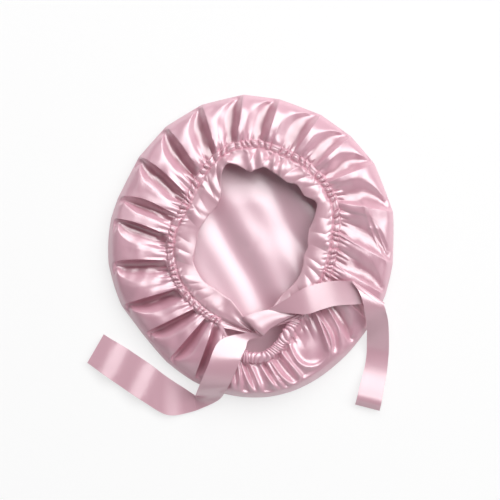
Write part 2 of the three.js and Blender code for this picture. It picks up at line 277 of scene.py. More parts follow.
def facing(points, ring):
    if ring:
        along = np.roll(points, -1, 0) - np.roll(points, 1, 0)
    else:
        along = np.gradient(points, axis=0)
    normal = np.cross(along, np.gradient(points, axis=1))
    return normal / np.maximum(np.linalg.norm(normal, axis=2, keepdims=True), 1e-9)


# lengths from the first point on
def stepLengths(points, axis):
    steps = np.linalg.norm(np.diff(points, axis=axis), axis=-1)
    return np.concatenate([np.zeros_like(np.take(steps, [0], axis)), np.cumsum(steps, axis)], axis)


# mesh of these points in mm, with the place on the flat cloth as its map
def meshPiece(name, points, faces, flat, finish):
    mesh = bpy.data.meshes.new(name)
    mesh.from_pydata((points / 1000).tolist(), [], faces)
    mesh.materials.append(finish.owner)
    if flat is not None:
        corners = np.zeros(len(mesh.loops), np.int32)
        mesh.loops.foreach_get("vertex_index", corners)
        places = (flat[corners] / 1000).astype(np.float32)
        mesh.uv_layers.new(name="cloth").data.foreach_set("uv", places.ravel())
    mesh.polygons.foreach_set("use_smooth", np.ones(len(mesh.polygons), bool))
    mesh.set_sharp_from_angle(angle=math.radians(70))  # cut edges stay crisp
    mesh.validate()
    piece = bpy.data.objects.new(name, mesh)
    scene.collection.objects.link(piece)
    return piece


# closed cloth from one grid of points: columns, rows, xyz. Its other face lies the cloth's thickness below.
def clothPiece(name, points, thickness, finish, ring=False, pole=False, flat=None, hollow=None):
    columns, rows = points.shape[:2]
    normal = facing(points, ring)
    if pole:
        normal[:, 0] = normal[:, 1].mean(0) / np.linalg.norm(normal[:, 1].mean(0))
    under = points - thickness * normal
    if flat is None:
        flat = np.stack([np.broadcast_to(stepLengths(points, 0)[:, rows // 2, None], (columns, rows)),
                         np.broadcast_to(stepLengths(points, 1).mean(0), (columns, rows))], -1)
    number = np.arange(columns * rows).reshape(columns, rows)
    if pole:
        number[:, 0] = number[0, 0]
    following = np.roll(number, -1, 0) if ring else number[1:]
    here = number if ring else number[:-1]
    quads = np.stack([here[:, :-1], following[:, :-1], following[:, 1:], here[:, 1:]], -1).reshape(-1, 4)
    other = columns * rows  # first point of the other face
    faces = [quads, quads[:, ::-1] + other]
    rims = [(here[:, -1], following[:, -1])]
    if not pole:
        rims.append((following[:, 0], here[:, 0]))
    if not ring:
        rims.append((number[0, 1:][::-1], number[0, :-1][::-1]))
        rims.append((number[-1, :-1], number[-1, 1:]))
    for first, second in rims:
        faces.append(np.stack([second, first, first + other, second + other], -1))
    faces = np.concatenate(faces)
    used = np.zeros(2 * other, bool)
    used[faces.ravel()] = True
    renumber = np.cumsum(used) - 1
    cleaned = [[k for j, k in enumerate(face) if k != face[j - 1]] for face in renumber[faces].tolist()]
    allPoints = np.concatenate([points.reshape(-1, 3), under.reshape(-1, 3)])[used]
    allFlat = np.concatenate([flat.reshape(-1, 2)] * 2)[used]
    piece = meshPiece(name, allPoints, cleaned, allFlat, finish)
    # painted shade: a per point mask, stored as the hollow attribute, that darkens the colour in fold
    # hollows
    if hollow is not None:
        shade = np.concatenate([hollow.ravel()] * 2)[used].astype(np.float32)
        piece.data.attributes.new("hollow", "FLOAT", "POINT").data.foreach_set("value", shade)
    return piece


# round threads along several paths, as one piece
def threadPiece(name, paths, radius, finish, sides=6):
    upright = (0.13, 0.07, 1)  # no stitch runs along it
    points, faces = [], []
    turns = np.linspace(0, 2 * math.pi, sides, endpoint=False)
    for path in paths:
        path = np.asarray(path, float)
        way = np.gradient(path, axis=0)
        way /= np.linalg.norm(way, axis=1, keepdims=True)
        side = np.cross(way, upright)
        side /= np.linalg.norm(side, axis=1, keepdims=True)
        up = np.cross(side, way)
        start = sum(len(p) for p in points)
        points.append((path[:, None] + radius * (np.cos(turns)[:, None] * side[:, None]
                                                 + np.sin(turns)[:, None] * up[:, None])).reshape(-1, 3))
        for i in range(len(path) - 1):
            for k in range(sides):
                a, b = start + i * sides + k, start + i * sides + (k + 1) % sides
                faces.append([a, a + sides, b + sides, b])
        faces.append([start + k for k in range(sides)])
        faces.append([start + (len(path) - 1) * sides + k for k in reversed(range(sides))])
    return meshPiece(name, np.concatenate(points), faces, None, finish)


# a piece on one body, in place of a node of the frame
def dress(piece, body, node):
    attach(piece, body)
    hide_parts(node)


# plan of the bonnet: degrees from the right side towards the brow, and mm from the middle of the crown
outline = closedLine([
    (0, 157), (15, 161.5), (35, 164.5), (50, 165), (65, 166), (80, 167.5), (95, 171), (108, 169),
    (120, 167.3), (135, 163.5), (155, 159.5), (165, 161), (175, 162.2), (195, 162.2), (205, 160.6),
    (213, 156.5), (222, 157), (230, 159.4), (240, 162.5), (250, 165), (262, 167.5), (275, 168.4),
    (285, 167), (295, 164), (305, 160.6), (320, 157.2), (345, 157.2)], 4)
frontStitches = [
    (0, 90.3), (10, 93.7), (28, 103.5), (42, 106.5), (58, 109.3), (75, 111.5), (84, 114.8), (100, 114.8),
    (111, 109.3), (120, 103.1), (128, 97), (137, 92.5), (145, 88.6), (157, 88.6), (170, 91.4), (187, 92.5),
    (203, 92.5), (220, 91), (240, 90.9), (325, 88), (343, 88)]
stitchLine = closedLine(frontStitches + [
    (248, 95), (257, 112), (264, 126), (276, 127.5), (283, 119.5), (290, 110), (298, 100), (306, 92)], 3)
bandLine = closedLine(frontStitches + [(255, 91), (270, 91), (290, 90), (306, 89)], 3)
bandEdge = closedLine([
    (0, 61.3), (8, 61.3), (17, 64.7), (25, 74.7), (35, 87.5), (45, 80.3), (55, 85.4), (62, 81), (75, 86),
    (82, 90.3), (92.5, 83), (102, 93.7), (107.5, 98), (114, 87.6), (120, 70.2), (125, 64.7), (132, 60.8),
    (142, 60.8), (153, 61.3), (164, 63.6), (178, 63.6), (187, 66.5), (193, 69), (206, 68), (216, 66.9),
    (228, 63), (240, 63), (248, 64), (300, 62), (330, 61), (344, 58.9), (351, 57.4)], 2.2)

gathers = {
    "beads": 92,  # puffs around the whole stitch line
    "wander": 0.5,  # how far they stray from even places, as a share of one
    "smallest": 0.45,
    "lean": 1.3,
    "slant": 0.3,
    "width": 4.3,
    "seam": 0.8,  # width and depth of the dent that the thread draws
    "seamDent": 0.18,
    "seed": 11,
}
beadRng = np.random.default_rng(gathers["seed"])
beadSize = beadRng.uniform(gathers["smallest"], 1.0, gathers["beads"])
beadLean = beadRng.uniform(-gathers["lean"], gathers["lean"], gathers["beads"])
wrinkleSize = beadRng.uniform(0, 1, gathers["beads"]) ** 1.6


# place in the row of gathers at these degrees: the gather's number, and where in it, from 0 to 1
def gatherAt(angle):
    turn = np.radians(angle)
    place = angle / 360 * gathers["beads"] + gathers["wander"] * (
        0.5 * np.sin(7 * turn + 1.3) + 0.4 * np.sin(13 * turn + 4.1) + 0.3 * np.sin(29 * turn + 2.2))
    number = np.floor(place)
    return number.astype(int) % gathers["beads"], place - number


# rounded back of one gather, and a dip on both sides of it
def bead(part, fullness):
    return np.abs(np.sin(math.pi * part)) ** fullness


# height of the puffs, from 0 to 1, at these degrees and mm outside the stitch line
def puffs(angle, off):
    number, part = gatherAt(angle + gathers["slant"] * off * np.sin(np.radians(angle * 11)))
    across = np.clip(1 - ((off - 0.4 * beadLean[number]) / gathers["width"]) ** 2, 0, 1)
    dent = gathers["seamDent"] * np.exp(-((off - 0.7 * beadLean[number]) / gathers["seam"]) ** 2)
    return beadSize[number] * bead(part, 0.6) * np.sqrt(across) * (1 - dent)


shell = {
    # degrees on the outline, degrees on the stitch line, mm from the outline to where the fold begins
    "pleats": [(14, 28, 2), (34.5, 41, 0), (48.6, 52, 0), (62.8, 66.3, 0), (79.8, 82.5, 0), (93.5, 99, 0),
               (109.8, 111, 0), (125.8, 125, 0), (141.6, 141.6, 0), (159.9, 156.8, 2), (168.6, 172.5, 4),
               (186.4, 189, 5), (203.8, 209, 1.5), (218, 226.5, 3), (233, 236, 3), (246, 243, 4),
               (256, 253, 6), (267, 264, 5), (276.5, 271.5, 5), (284.5, 278.5, 5), (294, 287.5, 7),
               (304, 313.5, 8), (314, 324.5, 5), (327, 335, 4), (340, 348, 3), (353, 368.5, 3)],
    # section across one fold: how far to the next fold, how high.
    # A steep side, a hollow, and a long rise to the next edge.
    "section": [(0, 1), (0.02, 0.86), (0.05, 0.66), (0.09, 0.46), (0.14, 0.28), (0.2, 0.13), (0.27, 0.04),
                (0.34, 0.02), (0.4, 0.07), (0.47, 0.2), (0.55, 0.42), (0.63, 0.63), (0.7, 0.79),
                (0.77, 0.89), (0.86, 0.95), (0.94, 0.985), (1, 1)],
    "hollowEnd": 0.7,  # on the section: where the hollow ends, and where the top is even again
    "evenTop": 0.86,
    # on the way from the rim to the stitch line: width of the hollow, top of the folds, depth of the hollow
    "hollow": [(0, 0.1), (0.06, 0.25), (0.12, 0.41), (0.2, 0.56), (0.3, 0.68), (0.45, 0.76), (0.7, 0.78),
               (1, 0.78)],
    "top": [(0, 8), (0.05, 13), (0.1, 16.4), (0.18, 20), (0.3, 24), (0.45, 27.2), (0.6, 29.2), (0.78, 29.4),
            (0.93, 27), (1, 24.2)],
    "depth": [(0, 0.6), (0.03, 2.9), (0.07, 5), (0.13, 7), (0.22, 8.8), (0.35, 10), (0.55, 10.4),
              (0.75, 9.2), (0.9, 5.4), (1, 0.6)],
    "napeTop": [(0, 8), (0.05, 15), (0.12, 21), (0.22, 25), (0.35, 27.6), (0.5, 28.4), (0.65, 28),
                (0.8, 26.8), (0.93, 25.2), (1, 24.2)],
    "napeFrom": (247, 258),  # where the folds pass into the lobes of the nape, and back
    "napeTo": (318, 330),
    # hollow lobes of the nape: degrees of both legs at the tube, then degrees and mm of the round end
    "lobes": [(258, 262, 263.8, 162.6), (264.2, 268.6, 272.6, 165.8), (273.5, 277, 281.6, 164),
              (278, 285.5, 288.6, 161.8), (291.3, 313.5, 299.8, 150), (315.4, 324.2, 307.4, 156.7)],
    "lobeDepth": 3.6,
    "lobeRidge": 4.2,
    "lobeEdge": 2.8,  # width of the ridge
    "lobeRadius": 130,  # where its width is measured
    # middle and spread, in degrees, of the stretches with folds of their own kind
    "bowAt": (162, 30),
    "puffyAt": (210, 55),
    "steepAt": (215, 45),
    "lowerLeftAt": (218, 26),
    "flatAt": (-8, 26),
    # the painted shade in the fold hollows is fainter over this stretch
    "fainterShadeAt": (22, 58),
    "bow": 0.17,  # how far the folds of the left side bend towards the brow, as a share of a fold
    "lowerLeft": 0.35,  # how much deeper the folds of the lower left are
    # sharp creases across the flat folds of the right side
    "creases": [[(148, -18), (130, 20.7), (121, 50.6)], [(148, -6), (137, 20), (123, 48.5)]],
    "crease": 1.6,
    "creaseWidth": 2.2,
    "pucker": 3.2,  # gathers at the stitch line, and wider ones that run on into the side
    "longPucker": 2.2,
    "seamGap": 1.5,
    "ground": 0.15,
    "edgeHeight": 8,
    "edgeTuck": 10,
    "underRows": (0, 0.2, 0.4, 0.58, 0.74, 0.87, 0.96),  # from the middle to the rolled edge
    "edgeTurns": (0, 14, 28, 42, 56, 70, 80),
    "tuck": [(1.5, 23.8), (3.5, 23.6), (5.5, 23.5)],  # mm in under the band, level
    "cloth": 0.8,
    "cut": 500,  # across the flat round
    "columnsPerDegree": 3.6,
    "sideRows": 72,
}
firstPleat = np.array(shell["pleats"][0])
pleatRim, pleatStitch, pleatReach = np.array([*shell["pleats"], firstPleat + (360, 360, 0)], float).T
pleatSpan = (np.diff(pleatRim) + np.diff(pleatStitch)) / 2
pleatCorners = turned(pleatRim, outline(pleatRim))


# a place counts folds: 3.25 is a quarter of the way from fold 3 to fold 4
def foldAt(place):
    number = np.floor(place).astype(int)
    return number % len(pleatSpan), place - number


def rimAt(place):
    i, part = foldAt(place)
    angle = pleatRim[i] * (1 - part) + pleatRim[i + 1] * part
    straight = pleatCorners[i] * (1 - part)[..., None] + pleatCorners[i + 1] * part[..., None]
    bulge = np.clip((pleatReach[i] + pleatReach[i + 1]) / 12, 0.1, 1)[..., None]
    return straight * (1 - bulge) + turned(angle, outline(angle)) * bulge


def stitchAngle(place):
    i, part = foldAt(place)
    return pleatStitch[i] * (1 - part) + pleatStitch[i + 1] * part


def seamSpot(angle, inside=0):
    return turned(angle, stitchLine(angle) + shell["seamGap"] - inside)


# columns of the side: number of the fold, place and height on its section, and an even place
def sideColumns():
    way, rise = (np.array(column, float) for column in zip(*shell["section"]))
    fold, roll, height, plain = [], [], [], []
    for i, span in enumerate(pleatSpan):
        number = round(span * shell["columnsPerDegree"])
        steps = np.hypot(np.diff(way) * 2.4 * span, np.diff(rise) * 16)
        along = np.append(0, np.cumsum(steps)) / steps.sum()
        share = np.arange(number) / number
        fold.append(np.full(number, i))
        roll.append(np.interp(share, along, way))
        height.append(np.interp(share, along, rise))
        plain.append(0.6 * share + 0.4 * roll[-1])
    fold, roll, height, plain = (np.concatenate(x)[:, None] for x in (fold, roll, height, plain))
    middle = stitchAngle(fold + plain)
    around = middle % 360
    petal = ease(*shell["napeFrom"], around) * (1 - ease(*shell["napeTo"], around))  # 1 along the nape
    return SimpleNamespace(fold=fold, roll=roll, height=height, plain=plain, middle=middle, petal=petal)


# where the points of the side lie, counted in folds: each hollow goes in under the fold beside it
def foldPlaces(side, share, t):
    hollowEnd, evenTop = shell["hollowEnd"], shell["evenTop"]
    edge = through(shell["hollow"], t) * (0.89 + 0.13 * np.cos(np.radians(side.middle - 40)))
    edge = np.clip(edge, 0.02, 0.8)
    steep = 1 + 0.5 * hump(side.middle, *shell["steepAt"])
    hollow = np.minimum(side.roll / hollowEnd, 1) ** steep * edge
    rising = edge + (side.roll - hollowEnd) / (evenTop - hollowEnd) * (evenTop - edge)
    across = np.where(side.roll < hollowEnd, hollow, np.where(side.roll < evenTop, rising, side.roll))
    across += (side.plain - across) * side.petal
    over = (0.55 + 0.45 * ease(0, 0.1, t)) * (1 - ease(0.9, 1, t))
    bow = shell["bow"] * hump(side.middle, *shell["bowAt"]) * np.sin(math.pi * share ** 0.8)
    return side.fold + side.plain + (across - side.plain) * over - bow


# how far the cloth of the nape sinks between the ridges of its lobes
def lobeDepth(plan):
    around = np.degrees(np.arctan2(plan[..., 1], plan[..., 0])) % 360
    radius = np.hypot(plan[..., 0], plan[..., 1])
    ridge, inside = 0, 0
    for first, second, tip, reach in shell["lobes"]:
        middle, half = (first + second) / 2, (second - first) / 2
        root = stitchLine(middle) + shell["seamGap"]
        out = np.clip((radius - root) / (reach - root), 0, 2)
        aside = (around - middle - (tip - middle) * np.minimum(out, 1)) / half
        ring = np.sqrt(aside ** 2 + out ** 3.5)
        width = np.radians(half) * shell["lobeRadius"]
        ridge = np.maximum(ridge, np.exp(-((ring - 1) * width / shell["lobeEdge"]) ** 2))
        inside = np.maximum(inside, np.clip(1 - ring ** 2, 0, 1))
    return (1 - ridge) * (shell["lobeRidge"] + inside * shell["lobeDepth"])


def creaseHeight(plan):
    total = 0
    for line in shell["creases"]:
        for start, end in zip(line, line[1:]):
            way = np.subtract(end, start)
            on = np.clip((plan - start) @ way / (way @ way), 0, 1)
            away = np.linalg.norm(plan - start - on[..., None] * way, axis=-1)
            total = total + shell["crease"] * np.exp(-away / shell["creaseWidth"])
    return total


def foldHeights(side, share, t, plan, angle):
    puffy = np.maximum(side.petal, 0.7 * hump(side.middle, *shell["puffyAt"]))
    top = through(shell["top"], share) * (1 - puffy) + through(shell["napeTop"], share) * puffy
    full = np.minimum(1, pleatSpan[side.fold] / 13)  # narrow folds are shallower
    deep = (0.98 - 0.06 * np.cos(np.radians(angle - 10))) * (0.35 + 0.65 * full)
    deep = deep * (1 - 0.45 * hump(angle, *shell["flatAt"]))
    deep = deep * (1 + shell["lowerLeft"] * hump(angle, *shell["lowerLeftAt"]))
    depth = np.clip(through(shell["depth"], t), 0, None) * deep
    z = top - depth * (1 - side.height) * (1 - side.petal)
    z -= lobeDepth(plan) * side.petal * ease(0, 0.14, t) * (1 - 0.6 * ease(0.85, 1, t))
    z += creaseHeight(plan) * ease(-0.05, 0.1, t)
    # the band's own gathers along the stitch line, then fewer and wider ones
    number, part = gatherAt(angle)
    near = ease(0.72, 0.95, t) * (1 - 0.75 * ease(0.96, 1, t))
    z += (bead(part, 0.7) * beadSize[number] - 0.5) * shell["pucker"] * near
    number, part = gatherAt(angle * 0.5 + 40)
    far = ease(0.45, 0.85, t) * (1 - ease(0.9, 1, t))
    z += (bead(part, 0.8) * beadSize[number] - 0.5) * shell["longPucker"] * far
    loose = ease(0, 0.2, t) * (1 - ease(0.85, 1, t))
    return z + (0.9 * uneven(plan, 40, 3) + 0.5 * uneven(plan, 17, 4)) * loose


# points, places on the flat cloth, and painted shade: darker colour where the cloth lies deep under the
# edge of the fold beside it
def crownShell():
    side = sideColumns()
    even = np.linspace(0, 1, shell["sideRows"])
    share = (even - 0.05 * np.sin(2 * math.pi * even))[None, :]  # closer at the rim and at the stitches
    length = np.linalg.norm(rimAt(side.fold + side.plain) - seamSpot(side.middle), axis=-1)
    reach = pleatReach[side.fold] * (1 - side.plain) + pleatReach[side.fold + 1] * side.plain
    t = np.clip((share * length - reach) / (length - reach), 0, 1)  # from where the fold begins
    place = foldPlaces(side, share, t)
    angle = stitchAngle(place)
    plan = rimAt(place) * (1 - share[..., None]) + seamSpot(angle) * share[..., None]
    z = foldHeights(side, share, t, plan, angle)
    # painted shade: the colour darkens in the hollow below each fold's edge, fainter near the rim, near the
    # stitches and on the right side
    paintedShade = (1 - side.height) ** 0.7 * (1 - ease(0.3, 0.62, side.roll)) * (1 - side.petal)
    paintedShade = paintedShade * ease(0.01, 0.3, t) * (1 - 0.5 * ease(0.9, 1, t))
    paintedShade = paintedShade * (1 - 0.6 * hump(side.middle, *shell["fainterShadeAt"]))

    rim = rimAt(place[:, 0])
    foot = rim - rim / np.linalg.norm(rim, axis=-1, keepdims=True) * shell["edgeTuck"]
    under = [atHeight(foot * part, shell["ground"]) for part in shell["underRows"]]
    for turn in np.radians(shell["edgeTurns"]):
        rise = (shell["edgeHeight"] - shell["ground"]) * (1 - math.cos(turn))
        under.append(atHeight(foot + (rim - foot) * math.sin(turn), shell["ground"] + rise))
    tuck = [atHeight(seamSpot(side.middle[:, 0], inside), level) for inside, level in shell["tuck"]]
    points = np.concatenate([np.stack(under, 1), atHeight(plan, z), np.stack(tuck, 1)], 1)
    span = stepLengths(points, 1).mean(0)
    flat = turned(np.linspace(0, 360, len(points), endpoint=False)[:, None], span[None, :])
    return points, flat, np.pad(paintedShade, ((0, 0), (len(under), len(tuck))))


# area of a round of cloth, mm across; it is worked out and not kept
def roundCut(across):
    size = across / 1000
    math.pi * size ** 2 / 4


# the third grid is painted shade for the fold hollows
shellPoints, shellFlat, shellPaintedShade = crownShell()
print("shell grid:", shellPoints.shape)
crown = clothPiece("crownSatin", shellPoints, shell["cloth"], shellSatin, ring=True, pole=True,
                   flat=shellFlat, hollow=shellPaintedShade)
dress(crown, "bonnet", "crown_shell")
roundCut(shell["cut"])
print("crown made:", len(crown.data.polygons), "faces")


lining = {
    "level": 6.2,  # the lining over the table
    "wave": 70,  # from one soft fold to the next
    "waveHeight": 2.6,
    "waveTurn": 25,  # the way the folds follow each other
    "browFlat": (105, 40),  # middle and spread of the stretches without folds
    "napeFlat": (282, 40),
    "sink": 3.9,  # how much lower it lies there
    "inset": 14,  # from the outline to the edge of the floor and the foot of the side
    "foot": 10,
    "seamGap": 2,
    # on the way from the foot to the stitch line: level of the side
    "side": [(0, 2.9), (0.02, 3.4), (0.06, 3.9), (0.15, 4.4), (0.4, 5.6), (0.7, 9), (0.9, 16), (1, 21.5)],
    "cloth": 0.6,
    "cut": 440,  # across the flat round
    "columns": 360,
    "rows": 34,
}


def crownLining():
    angle = np.linspace(0, 360, lining["columns"], endpoint=False)[:, None]
    rows = np.array([0, 0.05, *np.linspace(0.1, 0.9, lining["rows"]), 0.93, 0.96])[None, :]
    plan = turned(angle, (outline(angle) - lining["inset"]) * rows)
    turn = math.radians(lining["waveTurn"])
    along = plan[..., 0] * math.cos(turn) + plan[..., 1] * math.sin(turn)
    cross = -plan[..., 0] * math.sin(turn) + plan[..., 1] * math.cos(turn)
    phase = 2 * math.pi * along / lining["wave"] + 0.4 * np.sin(cross / 55) + 0.53
    wave = np.sin(phase) + 0.35 * np.sin(2 * phase + 0.8) + 0.3 * uneven(plan, 60, 21)
    calm = (1 - ease(0.62, 0.9, rows)) * (1 - hump(angle, *lining["browFlat"]) * ease(0.3, 0.52, rows))
    calm = calm * (1 - hump(angle, *lining["napeFlat"]) * ease(0.5, 0.62, rows))
    z = lining["level"] + lining["waveHeight"] * wave * calm - lining["sink"] * (1 - calm)
    foot = outline(angle) - lining["foot"]
    seam = stitchLine(angle) + lining["seamGap"]
    side = [atHeight(turned(angle, foot * (1 - part) + seam * part), level)
            for part, level in lining["side"]]
    points = np.concatenate([atHeight(plan, z), *side], 1)
    flat = turned(angle, stepLengths(points, 1).mean(0)[None, :])
    return points[::-1], flat[::-1]


liningPoints, liningFlat = crownLining()
inner = clothPiece("crownLining", liningPoints, -lining["cloth"], liningSatin, ring=True, pole=True,
                   flat=liningFlat)
dress(inner, "bonnet", "crown_lining")
roundCut(lining["cut"])
print("lining made:", len(inner.data.polygons), "faces")


band = {
    "from": -57,
    "to": 246,
    "columns": 1320,
    "rows": 30,
    "ropeRows": 19,
    "lap": 5,  # from the stitch line to the outer edge of the puffs
    "level": 26.2,
    "sink": 2.2,  # how much lower the cloth between the puffs lies
    "rope": 5.6,  # height of the puffs on the stitch line
    "arch": 3,
    "browAt": (85, 42),  # middle and spread of the brow frill, and of a flat stretch at the lower left
    "flatAt": (225, 32),
    "browLift": 4,  # the frill of the brow stands up a little
    "wrinkle": 2.2,
    "browWrinkle": 2.4,
    "flute": 9.4,  # degrees from one flute of the brow frill to the next
    "fluteHeight": 1.5,
    "edgeLift": 0.35,  # where its edge is drawn back, it stands up by this share
    "uneven": 1.1,
    # the folded edge: mm down, mm back
    "roll": [(0.35, -0.5), (1.0, -0.7), (1.7, -0.45), (2.2, 0.3), (2.4, 1.5)],
    "cloth": 0.9,
    "cut": (0.042, 0.56),  # flat size in metres
}


def tieBand():
    angle = np.linspace(band["from"], band["to"], band["columns"])[:, None]
    stitch = bandLine(angle)
    free = bandEdge(angle)
    rope = band["lap"] * np.append(np.linspace(1, -5 / 7, band["ropeRows"]), -6 / 7)[None, :]
    start = stitch + rope[0, -1]
    across = np.linspace(0.03, 1, band["rows"])[None, :]
    radius = np.concatenate([stitch + rope, start + (free - start) * across], 1)
    w = np.clip((start - radius) / (start - free), 0, 1)  # on the way from the puffs to the free edge
    off = radius - stitch
    brow = hump(angle, *band["browAt"])
    z = band["level"] - band["sink"] + band["rope"] * puffs(angle, off) * (1 - ease(0, 0.12, w))
    z = z - ease(2, 4.2, off) + band["sink"] * ease(0, 0.1, w)
    arch = band["arch"] * (1 - 0.3 * brow - 0.7 * hump(angle, *band["flatAt"]))
    z += arch * np.sin(math.pi * w ** 0.8) + band["browLift"] * brow * ease(0.1, 1, w)
    # wrinkles that run in from the stitches, few and uneven, then wider ones
    number, part = gatherAt(angle * 0.9 + 5 * w)
    fade = ease(0, 0.06, w) * (1 - ease(0.06, 0.36, w))
    z += band["wrinkle"] * (bead(part, 1) * wrinkleSize[number] - 0.3) * fade
    number, part = gatherAt(angle / 2.7 + 17 - 3 * w)
    wide = bead(part, 0.8) * (0.3 * brow + (1 - 0.3 * brow) * wrinkleSize[number])
    fade = ease(0, 0.15, w) * (1 - ease(0.35, 1, w) * (1 - 0.4 * brow))
    z += (band["wrinkle"] + band["browWrinkle"] * brow) * (wide - 0.35) * fade
    stray = 1.5 * np.sin(angle / 6.3) + 0.8 * np.sin(angle / 2.9)
    flutes = np.sin(2 * math.pi * (angle + 3 * w) / band["flute"] + stray)
    z += band["fluteHeight"] * brow * flutes * ease(0, 0.2, w) * (1 - 0.3 * w)
    mean = closedLine([(a, bandEdge(a)) for a in range(0, 360, 5)], 18)(angle)
    z += band["edgeLift"] * (free - mean) * ease(0.3, 1, w)
    z += band["uneven"] * uneven(turned(angle, radius), 26, 31) * ease(0.05, 0.3, w)
    edge = z[:, -1:]
    for down, back in band["roll"]:
        radius = np.concatenate([radius, free + back], 1)
        z = np.concatenate([z, edge - down], 1)
    return atHeight(turned(angle, radius), z)


bandPoints = tieBand()
browBand = clothPiece("browBand", bandPoints, band["cloth"], bandSatin)
dress(browBand, "bonnet", "tie_band")
print("band made:", len(browBand.data.polygons), "faces")


# what lies under the ties: the highest cloth in each cell of a square, and in the cells beside it
cells = {"size": 2, "half": 240}
cellCount = 2 * cells["half"] // cells["size"]


def cellsAt(plan):
    spots = np.clip(((plan + cells["half"]) / cells["size"]).astype(int), 0, cellCount - 1)
    return spots[..., 0], spots[..., 1]


topCells = np.zeros((cellCount, cellCount))
for grid in (shellPoints[:, -shell["sideRows"] - len(shell["tuck"]):], bandPoints):
    np.maximum.at(topCells, cellsAt(grid[..., :2]), grid[..., 2])
topCells = np.max([np.roll(topCells, (dx, dy), (0, 1)) for dx in (-1, 0, 1) for dy in (-1, 0, 1)], 0)


ties = {"along": 130, "leftTailAlong": 110, "across": 26, "cloth": 0.8, "clear": 0.3}


# a strip between two edges, rows of (x, y, height)
def stripPoints(left, right, along=ties["along"], across=ties["across"]):
    knots = np.arange(len(left))
    at = np.linspace(0, knots[-1], along)
    share = np.linspace(0, 1, across)[None, :, None]
    return spline(knots, left, at)[:, None] * (1 - share) + spline(knots, right, at)[:, None] * share


# the strip laid on what is below it, and smoothed a few times
def laid(points, settle, clear=0.9):
    low = topCells[cellsAt(points[..., :2])] + clear
    z = np.maximum(points[..., 2], low)
    for _ in range(settle):
        calm = z.copy()
        calm[1:-1] = 0.5 * z[1:-1] + 0.25 * (z[:-2] + z[2:])
        calm[:, 1:-1] = 0.6 * calm[:, 1:-1] + 0.2 * (calm[:, :-2] + calm[:, 2:])
        z = np.maximum(calm, low)
    return atHeight(points[..., :2], z)


leftTie = {
    # edges from the knot down over the nape to the turn on the table
    "inner": [(0.6, -94.2, 27), (-22.3, -97.6, 26.5), (-37.4, -104.3, 31), (-44.4, -116, 35.4),
              (-49.5, -130.1, 36.8), (-57.2, -148, 31), (-63.2, -162.6, 18), (-64.2, -165.6, 10),
              (-64.4, -165.9, 5), (-66.3, -164.8, 2.4)],
    "outer": [(10.6, -98.7, 27), (-4.5, -103.1, 26.5), (-7.8, -110.9, 29.5), (-11.6, -118.7, 33.5),
              (-14.9, -127.1, 36), (-24.8, -148.9, 30.5), (-31, -160.5, 19), (-36.5, -168.6, 11),
              (-48, -176, 5.5), (-63.6, -182.9, 2.4)],
    # from there along the table to its hem
    "tailInner": [(-72.5, -160.8, 1.3), (-79.2, -156.4, 1), (-95.6, -145.4, 1), (-126.3, -123.1, 1),
                  (-147.2, -109.8, 1), (-166.7, -97.5, 1)],
    "tailOuter": [(-80.3, -187.3, 1.3), (-97, -187.3, 1), (-117.1, -176.2, 1), (-144.3, -158.2, 1),
                  (-165, -143.8, 1), (-185.2, -129.3, 1)],
    "settle": 10,
    "wave": 39,  # its two edges lift in turn
    "waveStart": 25,
    "waveHeight": 3.6,
    "waveEnd": 84,  # from its hem to where it lies flat
    # in metres: where the bend over a hinge starts and ends, and the flat size
    "runBend": ((-0.012, -0.0965, 0.0307), (-0.0195, -0.1085, 0.0307)),
    "runCut": (0.036, 0.09),
    "tailBend": ((-0.0825, -0.1765, 0.001), (-0.0945, -0.1685, 0.001)),
    "tailCut": (0.036, 0.135),
}
rightTie = {
    # edges from the knot over the gathered side to the diagonal fold, and back over it
    "upper": [(16.7, -69.1, 31), (34.6, -58.5, 35.5), (52.4, -47.2, 38), (65.3, -41.9, 36),
              (82.3, -38.1, 33), (97, -37.1, 32.6), (107.6, -37.6, 33.4), (109.6, -37.9, 34.8),
              (109.2, -39.3, 35.8), (114.2, -45.9, 37)],
    "lower": [(25.6, -71.9, 31), (42.4, -73, 35.8), (58, -73.9, 37.7), (70.2, -70.6, 36.9),
              (89.2, -65.1, 33.9), (108.2, -63.6, 32.4), (138, -61.9, 30.5), (144.6, -62.4, 30.6),
              (144.4, -64, 31.4), (145.6, -67, 31)],
    # from there over the rim to its hem on the table
    "tailLeft": [(119.9, -58, 36.6), (123.8, -75.8, 30), (126.4, -90.3, 18), (127.1, -104.8, 7),
                 (127.1, -119.6, 2.2), (124.5, -136.3, 1), (119.3, -155.2, 1), (114.3, -175.6, 1)],
    "tailRight": [(147.2, -72.4, 29), (149.4, -80.3, 22.5), (151.2, -95.3, 12.5), (152, -111.9, 5),
                  (151.6, -122.7, 2), (149.9, -139.4, 1), (146.3, -159, 1), (141.6, -182.6, 1)],
    "settle": 4,
    # its end stands a little off the table: mm from the end, share of the lift
    "end": [(0, 0.45), (4, 0.8), (8, 0.98), (14, 0.9), (22, 0.68), (30, 0.44), (38, 0.21), (46, 0.06),
            (56, 0), (80, 0), (250, 0)],
    "endLift": 7,
    "runBend": ((0.026, -0.078, 0.0347), (0.036, -0.068, 0.0347)),
    "runCut": (0.036, 0.105),  # as wide as the left tie, with one long edge folded in
    "tailBend": ((0.1365, -0.072, 0.0252), (0.1365, -0.083, 0.0252)),
    "tailCut": (0.036, 0.13),
}

